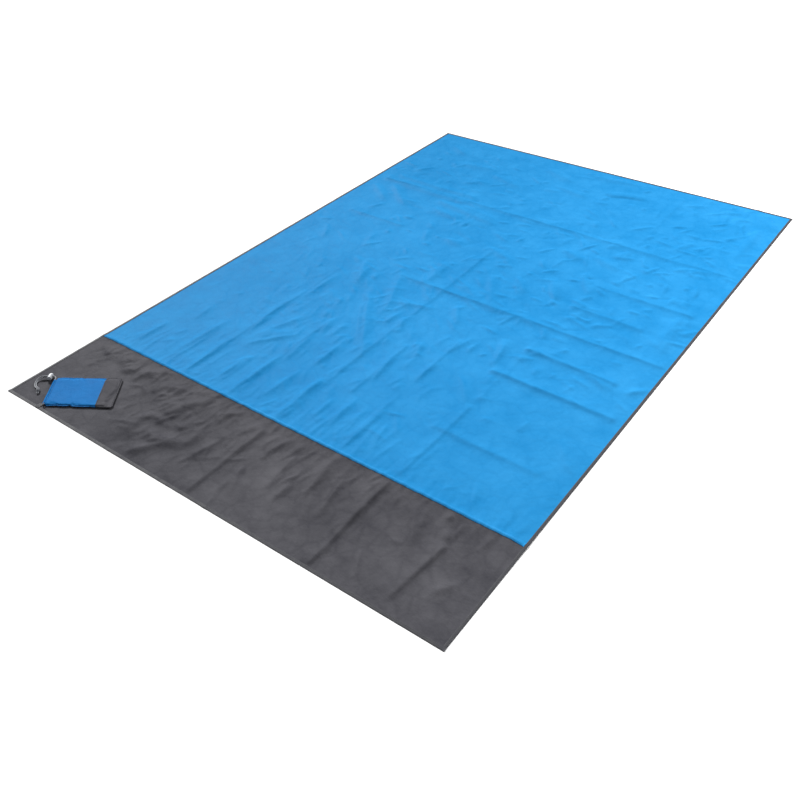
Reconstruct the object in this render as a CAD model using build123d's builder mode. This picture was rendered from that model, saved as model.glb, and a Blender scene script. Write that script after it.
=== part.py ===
from build123d import *
import math
import os

# Pocket camp blanket, laid out flat: a ground sheet of 1.4 m by 2.0 m in thin coated cloth, a grey
# panel at the near end and a blue one beyond it, bound all round with grey tape. Its own drawstring
# pouch, which the sheet packs into, is sewn to the near hem by a short ribbon and lies flat on the
# grey corner. Origin: on the ground under the middle of the sheet. +X runs across the sheet, +Y along
# it to the far blue end, +Z up. Millimetres.
#
# The sheet is cut in three at its two main fold lines, so that it can fold in half and again.

# --- driving dimensions: sheet -------------------------------------------------------------------
WIDTH = 1400.0
LENGTH = 2000.0
GREY_LENGTH = 301.0  # grey panel, near edge to the seam's middle
CLOTH = 0.2  # thickness of the sheet's cloth
TAPE = 0.3  # thickness of the binding tape
TAPE_WIDTH = 8.0  # how far the tape covers the edge, above and below
SEAM_WIDTH = 10.0  # folded allowance that laps the blue panel over the grey one
SEAM_HEIGHT = 0.4
FOLD_MIDDLE = 0.0  # Y of the fold that halves the sheet
FOLD_QUARTER = 500.0  # Y of the fold that halves the far half
FOLD_GAP = 0.3  # cloth left out at a fold, so that the two sides never meet

NEAR = -LENGTH / 2
FAR = LENGTH / 2
SEAM_Y = NEAR + GREY_LENGTH
SHEET_Z = TAPE  # the cloth lies on the tape's lower layer
SHEET_TOP = SHEET_Z + CLOTH
TAPE_TOP = SHEET_TOP + TAPE

# --- driving dimensions: pouch -------------------------------------------------------------------
# The pouch's own frame: U along the pouch from its mouth (-) to its base (+), V across it.
POUCH_X = -529.0
POUCH_Y = -898.0
POUCH_TURN = 31.5  # degrees from +X to the pouch's length
POUCH_LENGTH = 188.0
POUCH_WIDTH = 116.0
POUCH_Z = 1.8  # underside of the pouch
SLACK = 2.6  # height that one slack, creased wall of the pouch takes up
WALL_GAP = 0.3
BASE_LENGTH = 44.0  # grey part at the closed end
SIDE_SEAM = 2.0
CHANNEL = 13.0  # width of the folded channel at the mouth
CHANNEL_HEIGHT = 4.0
CHANNEL_LOW_V = -51.5
CHANNEL_HIGH_V = 42.0

TETHER_WIDTH = 12.0
TETHER_LENGTH = 16.0
TETHER_X = -575.5
TETHER_Y = -990.5
TETHER_Z = 1.1
TETHER_THICK = 0.4

PATCH_LONG = 31.0
PATCH_WIDE = 10.0
PATCH_THICK = 0.3
PATCH_U = 36.0

# --- driving dimensions: drawcord and lock -------------------------------------------------------
CORD = 3.0
CORD_HOLE = 3.3
BACK_CORD_U = -90.0
FRONT_CORD_U = -86.0

LOCK_U = -105.0
LOCK_Z = 7.5
LOCK_RADIUS = 6.2
LOCK_BOTTOM_V = 48.0
LOCK_MOUTH_V = 63.5
LOCK_BORE = 4.2
LOCK_FLOOR = 1.3
LOCK_SLOT_V = 57.15  # where the two strands pass through the lock
LOCK_SLOT_WIDE = 4.2
LOCK_SLOT_HIGH = 7.0
PLUNGER_RADIUS = 4.0
PLUNGER_INNER_V = 53.8
PLUNGER_TIP_V = 68.0
PLUNGER_SLOT_LOW_V = 55.0
PLUNGER_SLOT_HIGH_V = 61.4
PRESS = 2.5  # travel of the plunger
SPRING_WIRE = 0.6
SPRING_RADIUS = 3.0
SPRING_TURNS = 3

KNOT_U = -116.5
KNOT_V = 4.5
KNOT_Z = 5.8
KNOT_HALF_LONG = 7.0
KNOT_RADIUS = 4.6
KNOT_END = 5.0  # how far the cut ends stand out of the knot
KNOT_END_SPREAD = 1.8
KNOT_END_Z = 3.2

POUCH_PLANE = Plane(
    origin=(POUCH_X, POUCH_Y, 0),
    x_dir=(math.cos(math.radians(POUCH_TURN)), math.sin(math.radians(POUCH_TURN)), 0),
    z_dir=(0, 0, 1),
)
MOUTH_U = -POUCH_LENGTH / 2
FOOT_U = POUCH_LENGTH / 2
BODY_U = MOUTH_U + CHANNEL  # where the channel ends and the pouch's walls begin
BASE_U = FOOT_U - BASE_LENGTH
FRONT_Z = POUCH_Z + SLACK + WALL_GAP
POUCH_TOP = FRONT_Z + SLACK
FRONT_CHANNEL_Z = POUCH_Z + CHANNEL_HEIGHT + WALL_GAP
BACK_CORD_Z = POUCH_Z + CHANNEL_HEIGHT / 2
FRONT_CORD_Z = FRONT_CHANNEL_Z + CHANNEL_HEIGHT / 2

# The two strands of the drawcord from the channels, through the lock, to the knot: (U, V, Z). Both
# turn out of the mouth's corner, pass the lock one above the other, then lie side by side.
UPPER_STRAND = [
    (FRONT_CORD_U, CHANNEL_HIGH_V, FRONT_CORD_Z),
    (FRONT_CORD_U, 50.0, FRONT_CORD_Z),
    (-92.5, 57.0, 8.9),
    (-102.0, 57.3, 9.1),
    (-114.0, 57.3, 9.1),
    (-127.0, 57.0, 9.1),
    (-136.0, 51.0, 6.4),
    (-139.5, 40.0, 3.7),
    (-137.2, 27.0, 2.8),
    (-130.0, 15.5, 2.8),
    (-119.5, 8.0, 4.8),
]
LOWER_STRAND = [
    (BACK_CORD_U, CHANNEL_HIGH_V, BACK_CORD_Z),
    (BACK_CORD_U, 50.0, BACK_CORD_Z),
    (-95.5, 57.0, 5.5),
    (-104.0, 57.3, 5.9),
    (-114.0, 57.3, 5.9),
    (-126.5, 57.0, 5.7),
    (-133.0, 50.0, 3.8),
    (-135.8, 40.0, 2.8),
    (-133.8, 28.5, 2.8),
    (-127.0, 17.5, 2.8),
    (-117.2, 10.6, 4.8),
]


def save(part, label):
    part.label = label
    export_step(part, f"parts/{label}.step")


def arc_radii(route):
    """The largest arcs that a cord's runs leave room for: 0.45 of the shorter run at each point."""
    radii = []
    for before, here, after in zip(route, route[1:], route[2:]):
        run_in = Vector(*here) - Vector(*before)
        run_out = Vector(*after) - Vector(*here)
        half_turn = math.radians(run_in.get_angle(run_out)) / 2
        radii.append(0.45 * min(run_in.length, run_out.length) / math.tan(half_turn))
    return radii


def report_cord(name, length, volume, radii):
    section = math.pi * (CORD / 2) ** 2
    tightest = min(radii)
    print(f"{name}: length {length:.1f} mm, section x length {section * length:.1f} mm3,")
    print(f"  tube {volume:.1f} mm3, radii {[round(r, 1) for r in radii]}, least {tightest:.1f} mm")


# --- the sheet -----------------------------------------------------------------------------------
def cloth_panel(label, y_from, y_to):
    """A flat panel of cloth across the whole width, its edges tucked into the binding tape."""
    with BuildPart() as panel:
        with BuildSketch(Plane.XY.offset(SHEET_Z)):
            with Locations((0, (y_from + y_to) / 2)):
                Rectangle(WIDTH - 2 * TAPE, y_to - y_from)
        extrude(amount=CLOTH)
    save(panel.part, label)


def side_binding(label, side, y_from, y_to):
    """Tape folded round the left (-1) or right (+1) edge: a U with its mouth towards the sheet."""
    length = y_to - y_from
    middle = (y_from + y_to) / 2
    with BuildPart() as tape:
        with BuildSketch(Plane.XY):
            with Locations((side * (WIDTH - TAPE_WIDTH) / 2, middle)):
                Rectangle(TAPE_WIDTH, length)
        extrude(amount=TAPE_TOP)
        with BuildSketch(Plane.XY.offset(SHEET_Z)):
            with Locations((side * (WIDTH - TAPE_WIDTH - TAPE) / 2, middle)):
                Rectangle(TAPE_WIDTH - TAPE, length)
        extrude(amount=CLOTH, mode=Mode.SUBTRACT)
    save(tape.part, label)


def end_binding(label, side):
    """Tape folded round the near (-1) or far (+1) edge, over the whole width, closed at both ends."""
    with BuildPart() as tape:
        with BuildSketch(Plane.XY):
            with Locations((0, side * (LENGTH - TAPE_WIDTH) / 2)):
                Rectangle(WIDTH, TAPE_WIDTH)
        extrude(amount=TAPE_TOP)
        with BuildSketch(Plane.XY.offset(SHEET_Z)):
            with Locations((0, side * (LENGTH - TAPE_WIDTH - TAPE) / 2)):
                Rectangle(WIDTH - 2 * TAPE, TAPE_WIDTH - TAPE)
        extrude(amount=CLOTH, mode=Mode.SUBTRACT)
    save(tape.part, label)


def panel_seam():
    """The blue panel's folded allowance, lapped over the join and sewn down with two rows."""
    with BuildPart() as seam:
        with BuildSketch(Plane.XY.offset(SHEET_TOP)):
            with Locations((0, SEAM_Y)):
                Rectangle(WIDTH - 2 * TAPE_WIDTH - CLOTH, SEAM_WIDTH)
        extrude(amount=SEAM_HEIGHT)
    save(seam.part, "panel_seam")


# --- the pouch -----------------------------------------------------------------------------------
def pouch_block(label, u_from, u_to, v_from, v_to, z_from, z_to):
    """A plain piece of the pouch between the given planes of the pouch's frame."""
    with BuildPart() as block:
        with BuildSketch(POUCH_PLANE.offset(z_from)):
            with Locations(((u_from + u_to) / 2, (v_from + v_to) / 2)):
                Rectangle(u_to - u_from, v_to - v_from)
        extrude(amount=z_to - z_from)
    save(block.part, label)


def mouth_channel(label, z_from, cord_u):
    """A folded channel across the mouth, with the cord's tunnel through it from end to end."""
    length = CHANNEL_HIGH_V - CHANNEL_LOW_V
    middle_v = (CHANNEL_HIGH_V + CHANNEL_LOW_V) / 2
    tunnel_start = POUCH_PLANE.from_local_coords((cord_u, CHANNEL_LOW_V, z_from + CHANNEL_HEIGHT / 2))
    with BuildPart() as channel:
        with BuildSketch(POUCH_PLANE.offset(z_from)):
            with Locations(((MOUTH_U + BODY_U) / 2, middle_v)):
                Rectangle(CHANNEL, length)
        extrude(amount=CHANNEL_HEIGHT)
        with BuildSketch(Plane(origin=tunnel_start, z_dir=POUCH_PLANE.y_dir)):
            Circle(CORD_HOLE / 2)
        extrude(amount=length, mode=Mode.SUBTRACT)
    save(channel.part, label)


def tether():
    """Ribbon from the near hem to the underside of the pouch's mouth corner."""
    with BuildPart() as ribbon:
        with BuildSketch(Plane.XY.offset(TETHER_Z)):
            with Locations((TETHER_X, TETHER_Y)):
                RectangleRounded(TETHER_WIDTH, TETHER_LENGTH, 1.0)
        extrude(amount=TETHER_THICK)
    save(ribbon.part, "pouch_tether")


def size_patch():
    """Plain rubber patch on the pouch's underside, just above the grey base."""
    with BuildPart() as patch:
        with BuildSketch(POUCH_PLANE.offset(POUCH_Z - PATCH_THICK)):
            with Locations((PATCH_U, 0)):
                SlotOverall(PATCH_LONG, PATCH_WIDE, rotation=90)
        extrude(amount=PATCH_THICK)
    save(patch.part, "size_patch")


# --- the drawcord --------------------------------------------------------------------------------
def cord_in_channels():
    """The length that the channels hold: along the front one, round the corner, back along the other."""
    front_start = (FRONT_CORD_U, CHANNEL_HIGH_V, FRONT_CORD_Z)
    front_turn = (FRONT_CORD_U, CHANNEL_LOW_V, FRONT_CORD_Z)
    back_turn = (BACK_CORD_U, CHANNEL_LOW_V, BACK_CORD_Z)
    back_end = (BACK_CORD_U, CHANNEL_HIGH_V, BACK_CORD_Z)
    radius = (Vector(*front_turn) - Vector(*back_turn)).length / 2
    outermost = (
        (FRONT_CORD_U + BACK_CORD_U) / 2,
        CHANNEL_LOW_V - radius,
        (FRONT_CORD_Z + BACK_CORD_Z) / 2,
    )
    with BuildPart() as cord:
        with BuildLine(POUCH_PLANE) as path:
            Line(front_start, front_turn)
            ThreePointArc(front_turn, outermost, back_turn)
            Line(back_turn, back_end)
        with BuildSketch(Plane(origin=path.line @ 0, z_dir=path.line % 0)):
            Circle(CORD / 2)
        sweep()
    save(cord.part, "drawcord_in_channels")
    report_cord("drawcord_in_channels", path.wire().length, cord.part.volume, [radius])


def cord_strand(label, route):
    """One free strand of the drawcord, straight runs joined by tangent arcs."""
    radii = arc_radii(route)
    with BuildPart() as cord:
        with BuildLine(POUCH_PLANE) as path:
            FilletPolyline(*route, radius=radii)
        with BuildSketch(Plane(origin=path.line @ 0, z_dir=path.line % 0)):
            Circle(CORD / 2)
        sweep()
    save(cord.part, label)
    report_cord(label, path.wire().length, cord.part.volume, radii)


def knot():
    """The two strands tied together in one overhand knot, with their cut ends showing."""
    centre = POUCH_PLANE.from_local_coords((KNOT_U, KNOT_V, KNOT_Z))
    along = POUCH_PLANE.y_dir
    lying = Plane(origin=centre, x_dir=along, z_dir=(0, 0, 1))
    waist = KNOT_HALF_LONG - KNOT_RADIUS
    with BuildPart() as tied:
        with BuildSketch(lying):
            with BuildLine():
                Line((-KNOT_HALF_LONG, 0), (KNOT_HALF_LONG, 0))
                RadiusArc((KNOT_HALF_LONG, 0), (waist, KNOT_RADIUS), -KNOT_RADIUS)
                Line((waist, KNOT_RADIUS), (-waist, KNOT_RADIUS))
                RadiusArc((-waist, KNOT_RADIUS), (-KNOT_HALF_LONG, 0), -KNOT_RADIUS)
            make_face()
        revolve(axis=Axis(centre, along))
        for spread in (-KNOT_END_SPREAD, KNOT_END_SPREAD):
            start = POUCH_PLANE.from_local_coords((KNOT_U + spread, KNOT_V, KNOT_END_Z))
            with BuildSketch(Plane(origin=start, z_dir=-along)):
                Circle(CORD / 2)
            extrude(amount=KNOT_HALF_LONG + KNOT_END)
    save(tied.part, "drawcord_knot")


# --- the cord lock -------------------------------------------------------------------------------
def lock_plane(v):
    """A plane across the barrel at V, looking out of its mouth; its local X is up."""
    centre = POUCH_PLANE.from_local_coords((LOCK_U, v, LOCK_Z))
    return Plane(origin=centre, x_dir=(0, 0, 1), z_dir=POUCH_PLANE.y_dir)


def strand_plane(u):
    """A plane across the strands at U, looking towards the free end; its local X is up."""
    centre = POUCH_PLANE.from_local_coords((u, 0, LOCK_Z))
    return Plane(origin=centre, x_dir=(0, 0, 1), z_dir=-POUCH_PLANE.x_dir)


def slot_through(v_low, v_high, high):
    """Cuts the strands' slot through the part being built, between two V values."""
    start = strand_plane(LOCK_U + 2 * LOCK_RADIUS)
    toward_v = start.to_local_coords(Vector(start.origin) + Vector(POUCH_PLANE.y_dir)).Y
    with BuildSketch(start) as slot:
        with Locations((0, toward_v * (v_low + v_high) / 2)):
            RectangleRounded(high, v_high - v_low, 1.2)
    extrude(slot.sketch, amount=4 * LOCK_RADIUS, mode=Mode.SUBTRACT)


def lock_body():
    """Barrel with a blind bore for the plunger and a slot across it for the two strands."""
    with BuildPart() as barrel:
        with BuildSketch(lock_plane(LOCK_BOTTOM_V)):
            Circle(LOCK_RADIUS)
        extrude(amount=LOCK_MOUTH_V - LOCK_BOTTOM_V)
        fillet(barrel.edges().filter_by(GeomType.CIRCLE), radius=0.9)
        with BuildSketch(lock_plane(LOCK_BOTTOM_V + LOCK_FLOOR)):
            Circle(LOCK_BORE)
        extrude(amount=LOCK_MOUTH_V - LOCK_BOTTOM_V, mode=Mode.SUBTRACT)
        slot_through(
            LOCK_SLOT_V - LOCK_SLOT_WIDE / 2, LOCK_SLOT_V + LOCK_SLOT_WIDE / 2, LOCK_SLOT_HIGH
        )
    save(barrel.part, "lock_body")


def lock_plunger():
    """Button that slides in the barrel; its own slot is longer by its travel."""
    with BuildPart() as button:
        with BuildSketch(lock_plane(PLUNGER_INNER_V)):
            Circle(PLUNGER_RADIUS)
        extrude(amount=PLUNGER_TIP_V - PLUNGER_INNER_V)
        rim = button.edges().filter_by(GeomType.CIRCLE).sort_by(Axis((0, 0, 0), POUCH_PLANE.y_dir))
        fillet(rim[-1], radius=1.2)
        slot_through(PLUNGER_SLOT_LOW_V, PLUNGER_SLOT_HIGH_V, LOCK_SLOT_HIGH)
    save(button.part, "lock_plunger")


def lock_spring():
    """Compression spring between the barrel's floor and the plunger."""
    clearance = SPRING_WIRE / 2 + 0.05
    low_v = LOCK_BOTTOM_V + LOCK_FLOOR + clearance
    high_v = PLUNGER_INNER_V - clearance
    height = high_v - low_v
    with BuildPart() as spring:
        with BuildLine() as path:
            Helix(
                pitch=height / SPRING_TURNS,
                height=height,
                radius=SPRING_RADIUS,
                center=lock_plane(low_v).origin,
                direction=POUCH_PLANE.y_dir,
            )
        with BuildSketch(Plane(origin=path.line @ 0, z_dir=path.line % 0)):
            Circle(SPRING_WIRE / 2)
        sweep(is_frenet=True)
    save(spring.part, "lock_spring")


os.makedirs("parts", exist_ok=True)

panel_gap = CLOTH / 2
cloth_panel("grey_panel", NEAR + TAPE, SEAM_Y - panel_gap)
cloth_panel("blue_panel_near", SEAM_Y + panel_gap, FOLD_MIDDLE - FOLD_GAP / 2)
cloth_panel("blue_panel_middle", FOLD_MIDDLE + FOLD_GAP / 2, FOLD_QUARTER - FOLD_GAP / 2)
cloth_panel("blue_panel_far", FOLD_QUARTER + FOLD_GAP / 2, FAR - TAPE)
panel_seam()
end_binding("binding_near_end", -1)
end_binding("binding_far_end", 1)
for side, name in ((-1, "left"), (1, "right")):
    side_binding(f"binding_{name}_near", side, NEAR + TAPE_WIDTH, FOLD_MIDDLE - FOLD_GAP / 2)
    side_binding(
        f"binding_{name}_middle", side, FOLD_MIDDLE + FOLD_GAP / 2, FOLD_QUARTER - FOLD_GAP / 2
    )
    side_binding(f"binding_{name}_far", side, FOLD_QUARTER + FOLD_GAP / 2, FAR - TAPE_WIDTH)

inner = POUCH_WIDTH / 2 - SIDE_SEAM
outer = POUCH_WIDTH / 2
foot = FOOT_U - SIDE_SEAM
join = 0.1  # each wall stops this short of the line where blue meets grey
pouch_block("pouch_back_panel", BODY_U, BASE_U - join, -inner, inner, POUCH_Z, POUCH_Z + SLACK)
pouch_block("pouch_front_panel", BODY_U, BASE_U - join, -inner, inner, FRONT_Z, POUCH_TOP)
pouch_block("pouch_base_back", BASE_U + join, foot, -inner, inner, POUCH_Z, POUCH_Z + SLACK)
pouch_block("pouch_base_front", BASE_U + join, foot, -inner, inner, FRONT_Z, POUCH_TOP)
pouch_block("pouch_side_seam_outer", BODY_U, FOOT_U, inner, outer, POUCH_Z, POUCH_TOP)
pouch_block("pouch_side_seam_hem", BODY_U, FOOT_U, -outer, -inner, POUCH_Z, POUCH_TOP)
pouch_block("pouch_bottom_seam", foot, FOOT_U, -inner, inner, POUCH_Z, POUCH_TOP)
mouth_channel("mouth_channel_back", POUCH_Z, BACK_CORD_U)
mouth_channel("mouth_channel_front", FRONT_CHANNEL_Z, FRONT_CORD_U)
tether()
size_patch()
cord_in_channels()
cord_strand("drawcord_upper_strand", UPPER_STRAND)
cord_strand("drawcord_lower_strand", LOWER_STRAND)
knot()
lock_body()
lock_plunger()
lock_spring()
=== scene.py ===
import math
import random

import bpy
import numpy as np
from mathutils import Matrix, Vector, noise


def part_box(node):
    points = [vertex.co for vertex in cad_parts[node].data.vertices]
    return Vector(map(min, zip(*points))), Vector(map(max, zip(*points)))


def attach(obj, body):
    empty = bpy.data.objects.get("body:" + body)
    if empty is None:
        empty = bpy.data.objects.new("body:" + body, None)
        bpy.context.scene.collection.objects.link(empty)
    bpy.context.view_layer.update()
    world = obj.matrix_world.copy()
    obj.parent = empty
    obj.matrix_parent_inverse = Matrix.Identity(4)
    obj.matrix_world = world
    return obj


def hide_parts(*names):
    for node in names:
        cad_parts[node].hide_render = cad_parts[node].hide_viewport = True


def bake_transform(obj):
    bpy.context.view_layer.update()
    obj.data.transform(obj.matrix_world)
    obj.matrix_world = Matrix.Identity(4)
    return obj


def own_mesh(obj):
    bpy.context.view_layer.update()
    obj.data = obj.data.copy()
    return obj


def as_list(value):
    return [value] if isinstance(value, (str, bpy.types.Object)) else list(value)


# Pocket camp blanket laid out flat, with its drawstring pouch sewn to the near-left corner. Metres,
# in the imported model's frame: origin on the ground under the sheet's middle, +X across, +Y to the far
# blue end, +Z up.

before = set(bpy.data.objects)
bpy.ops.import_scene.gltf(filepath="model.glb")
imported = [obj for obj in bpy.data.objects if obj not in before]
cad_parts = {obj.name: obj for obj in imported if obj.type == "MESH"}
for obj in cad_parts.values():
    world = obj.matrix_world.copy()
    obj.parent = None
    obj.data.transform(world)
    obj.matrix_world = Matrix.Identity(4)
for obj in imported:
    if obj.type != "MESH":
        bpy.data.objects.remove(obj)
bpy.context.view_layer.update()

MM = 0.001
SHEET_LOW, SHEET_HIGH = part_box("binding_near_end")
LEFT, RIGHT = SHEET_LOW.x, SHEET_HIGH.x
NEAR = SHEET_LOW.y
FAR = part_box("binding_far_end")[1].y
SEAM_Y = 0.5 * (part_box("panel_seam")[0].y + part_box("panel_seam")[1].y)
CLOTH_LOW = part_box("grey_panel")[0].z
TAPE_TOP = SHEET_HIGH.z
TAPE_WIDTH = SHEET_HIGH.y - SHEET_LOW.y
FOLD_MIDDLE, FOLD_QUARTER = 0.0, 0.5
SPLIT_Y = 0.26  # row where the blue sheet's two meshes meet, along a crease
GRID = 4.2 * MM
SHEET_INSET = 1.2 * MM  # from the sheet's outer edge to its cloth's
MIDDLE_ROLL, QUARTER_ROLL, TETHER_ROLL = 0.035, 0.024, 0.013  # how much of each is meant to bend at its fold; nothing in this script bends it

# the pouch's frame: u along it from its mouth, v across it, z up
POUCH_CENTRE = (-0.529, -0.898)
POUCH_TURN = math.radians(31.5)
POUCH_SKEW = 0.12
CHANNEL_START_V, CHANNEL_END_V = -0.0515, 0.042
SWIVEL = (-0.5755, -0.9905)

CAMERA_PLACE = (1.2586, -1.7156, 1.3547)
CAMERA_AZIMUTH, CAMERA_DOWN, CAMERA_ROLL = (math.radians(a) for a in (126.765, 39.458, -2.228))
CAMERA_LENS = 37.98
CAMERA_SHIFT = (-0.0556, -0.0021)

KEY_AZIMUTH, KEY_HEIGHT = math.radians(150.0), math.radians(33.0)
KEY_DISTANCE, KEY_SIZE, KEY_POWER = 60.0, 10.3, 53000.0
FILL_PLACE, FILL_SIZE, FILL_POWER = (1.35, 1.1, 1.7), 1.2, 46.0
WORLD_STRENGTH = 0.24
FLOOR_HALF = 60.0


def show(name, data):
    """Adds an object with this data to the scene."""
    made = bpy.data.objects.new(name, data)
    bpy.context.scene.collection.objects.link(made)
    return made


def heading(azimuth, height):
    level = math.cos(height)
    return Vector((level * math.cos(azimuth), level * math.sin(azimuth), math.sin(height)))


# ------------------------------------------------------------------------------------- camera ----


def add_camera():
    ahead = heading(CAMERA_AZIMUTH, -CAMERA_DOWN)
    side = ahead.cross(Vector((0, 0, 1))).normalized()
    right = side * math.cos(CAMERA_ROLL) + side.cross(ahead) * math.sin(CAMERA_ROLL)
    above = right.cross(ahead)
    data = bpy.data.cameras.new("camera")
    data.sensor_width = 36.0
    data.lens = CAMERA_LENS
    data.shift_x, data.shift_y = CAMERA_SHIFT
    data.clip_end = 200.0
    camera = show("camera", data)
    camera.matrix_world = Matrix([*zip(right, above, -ahead, CAMERA_PLACE), (0, 0, 0, 1)])
    bpy.context.scene.camera = camera


# ----------------------------------------------------------------------------------- materials ----


class Shader:
    """A Principled material whose nodes are added one line at a time."""

    def __init__(self, name, **constants):
        self.material = bpy.data.materials.new(name)
        self.material.use_nodes = True
        self.tree = self.material.node_tree
        self.surface = self.tree.nodes["Principled BSDF"]
        for socket, value in constants.items():
            self.surface.inputs[socket.replace("_", " ")].default_value = value
        self.heights = []

    def node(self, kind, links=(), **values):
        made = self.tree.nodes.new(kind)
        for key, value in values.items():
            setattr(made, key, value)
        for socket, value in dict(links).items():
            if isinstance(value, bpy.types.NodeSocket):
                self.tree.links.new(value, made.inputs[socket])
            else:
                made.inputs[socket].default_value = value
        return made

    def place(self, uv=True, scale=(1, 1, 1), turn=0.0):
        """Coordinates in metres: the cloth's own, or the object's for a rigid part."""
        source = self.node("ShaderNodeUVMap", uv_map="cloth") if uv else self.node("ShaderNodeTexCoord")
        start = source.outputs["UV"] if uv else source.outputs["Object"]
        links = {"Vector": start, "Scale": scale, "Rotation": (0, 0, turn)}
        return self.node("ShaderNodeMapping", links).outputs["Vector"]

    def noise(self, place, scale, detail=3.0, rough=0.55):
        links = {"Vector": place, "Scale": scale, "Detail": detail, "Roughness": rough}
        return self.node("ShaderNodeTexNoise", links).outputs["Fac"]

    def ramp(self, value, low, high, start=0.0, end=1.0):
        links = {"Value": value, "From Min": low, "From Max": high, "To Min": start, "To Max": end}
        return self.node("ShaderNodeMapRange", links).outputs["Result"]

    def math(self, kind, a, b=0.0):
        return self.node("ShaderNodeMath", {0: a, 1: b}, operation=kind).outputs[0]

    def add(self, first, *others):
        for other in others:
            first = self.math("ADD", first, other)
        return first

    def mix(self, share, a, b):
        made = self.node("ShaderNodeMix", data_type="RGBA")
        for index, value in ((0, share), (6, a), (7, b)):
            if isinstance(value, bpy.types.NodeSocket):
                self.tree.links.new(value, made.inputs[index])
            else:
                made.inputs[index].default_value = value
        return made.outputs[2]

    def wave(self, place, scale):
        return self.node("ShaderNodeTexWave", {"Vector": place, "Scale": scale, "Detail": 1.0}).outputs["Fac"]

    def attribute(self, name):
        return self.node("ShaderNodeAttribute", attribute_name=name).outputs["Fac"]

    def weave(self, place, pitch):
        """Plain weave: warp and weft ribs that take turns on top, 0 to 1."""
        period = 2 * math.pi / (2 * pitch)
        split = self.node("ShaderNodeSeparateXYZ", {"Vector": place})
        along = self.math("SINE", self.math("MULTIPLY", split.outputs["X"], period))
        across = self.math("SINE", self.math("MULTIPLY", split.outputs["Y"], period))
        return self.math("MULTIPLY_ADD", self.math("MULTIPLY", along, across), 0.5)

    def bump(self, *layers):
        """Each layer is (height 0 to 1, depth in metres, strength)."""
        normal = None
        for height, depth, strength in layers:
            links = {"Height": height, "Distance": depth, "Strength": strength}
            if normal is not None:
                links["Normal"] = normal
            normal = self.node("ShaderNodeBump", links).outputs["Normal"]
        self.tree.links.new(normal, self.surface.inputs["Normal"])

    def set(self, **sockets):
        for socket, value in sockets.items():
            self.tree.links.new(value, self.surface.inputs[socket.replace("_", " ")])
        return self.material


def linear(red, green, blue):
    """A colour given as 0 to 255 sRGB, as the shader wants it."""
    return (*(((c / 255 + 0.055) / 1.055) ** 2.4 for c in (red, green, blue)), 1.0)


def cloth_material(name, deep, pale):
    """Thin coated cloth: plain weave, crinkle at three sizes, slubs, and painted shade along the crinkle
    lines and the folds.
    """
    shader = Shader(name, IOR=1.18, Specular_IOR_Level=0.06)
    place = shader.place()
    broad = shader.noise(place, 2.2, 4.0)
    cloud = shader.noise(place, 14.0, 5.0, 0.6)
    cells = {"Vector": place, "Scale": 24.0, "Randomness": 1.0}
    crinkle = shader.node("ShaderNodeTexVoronoi", cells, feature="DISTANCE_TO_EDGE").outputs["Distance"]
    crease = shader.ramp(crinkle, 0.0, 0.16)
    slub = shader.noise(shader.place(scale=(1, 14, 1)), 90.0, 2.0)
    weave = shader.weave(place, 0.45 * MM)
    tone = shader.add(
        shader.math("MULTIPLY", cloud, 0.5),
        shader.math("MULTIPLY", broad, 0.5),
        shader.ramp(slub, 0.3, 0.7, -0.06, 0.06),
        shader.ramp(weave, 0.0, 1.0, -0.05, 0.05),
        # painted shade: a little darker along the crinkle grooves
        shader.ramp(crease, 0.0, 1.0, -0.05, 0.0),
    )
    colour = shader.mix(shader.ramp(tone, 0.3, 0.72), (*deep, 1.0), (*pale, 1.0))
    # painted shade: the cloth is darkened along its fold creases, in place of the creases' shaded side
    painted_shade = (*(0.5 * c for c in deep), 1.0)
    colour = shader.mix(shader.math("MULTIPLY", shader.attribute("painted_fold_shade"), 0.5), colour, painted_shade)
    shader.bump(
        (shader.noise(place, 9.0, 6.0, 0.6), 7 * MM, 0.5),
        (crease, 0.3 * MM, 0.4),
        (shader.noise(place, 70.0, 4.0), 0.9 * MM, 0.5),
        (weave, 0.12 * MM, 0.6),
    )
    rough = shader.add(shader.ramp(cloud, 0.3, 0.7, 0.45, 0.55), shader.ramp(weave, 0, 1, -0.03, 0.03))
    return shader.set(Base_Color=colour, Roughness=rough)


def tape_material():
    """Ribbed woven tape."""
    shader = Shader("binding_tape", IOR=1.45, Sheen_Weight=0.15, Sheen_Roughness=0.4)
    place = shader.place()
    rib = shader.wave(shader.place(turn=math.pi / 4), 250.0)
    cloud = shader.noise(place, 40.0, 4.0)
    tone = shader.add(shader.ramp(cloud, 0.3, 0.7), shader.ramp(rib, 0, 1, -0.15, 0.15))
    shader.bump((rib, 0.25 * MM, 0.5), (shader.noise(place, 60.0, 3.0), 0.8 * MM, 0.4))
    colour = shader.mix(tone, linear(32, 33, 39), linear(50, 50, 57))
    return shader.set(Base_Color=colour, Roughness=shader.ramp(cloud, 0.3, 0.7, 0.62, 0.78))


def thread_material(name, dark, light):
    """Twisted sewing thread."""
    shader = Shader(name, IOR=1.5, Sheen_Weight=0.2)
    twist = shader.noise(shader.place(uv=False), 2500.0, 2.0)
    shader.bump((twist, 0.1 * MM, 0.5))
    rough = shader.ramp(twist, 0.3, 0.7, 0.45, 0.65)
    return shader.set(Base_Color=shader.mix(twist, dark, light), Roughness=rough)


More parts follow.
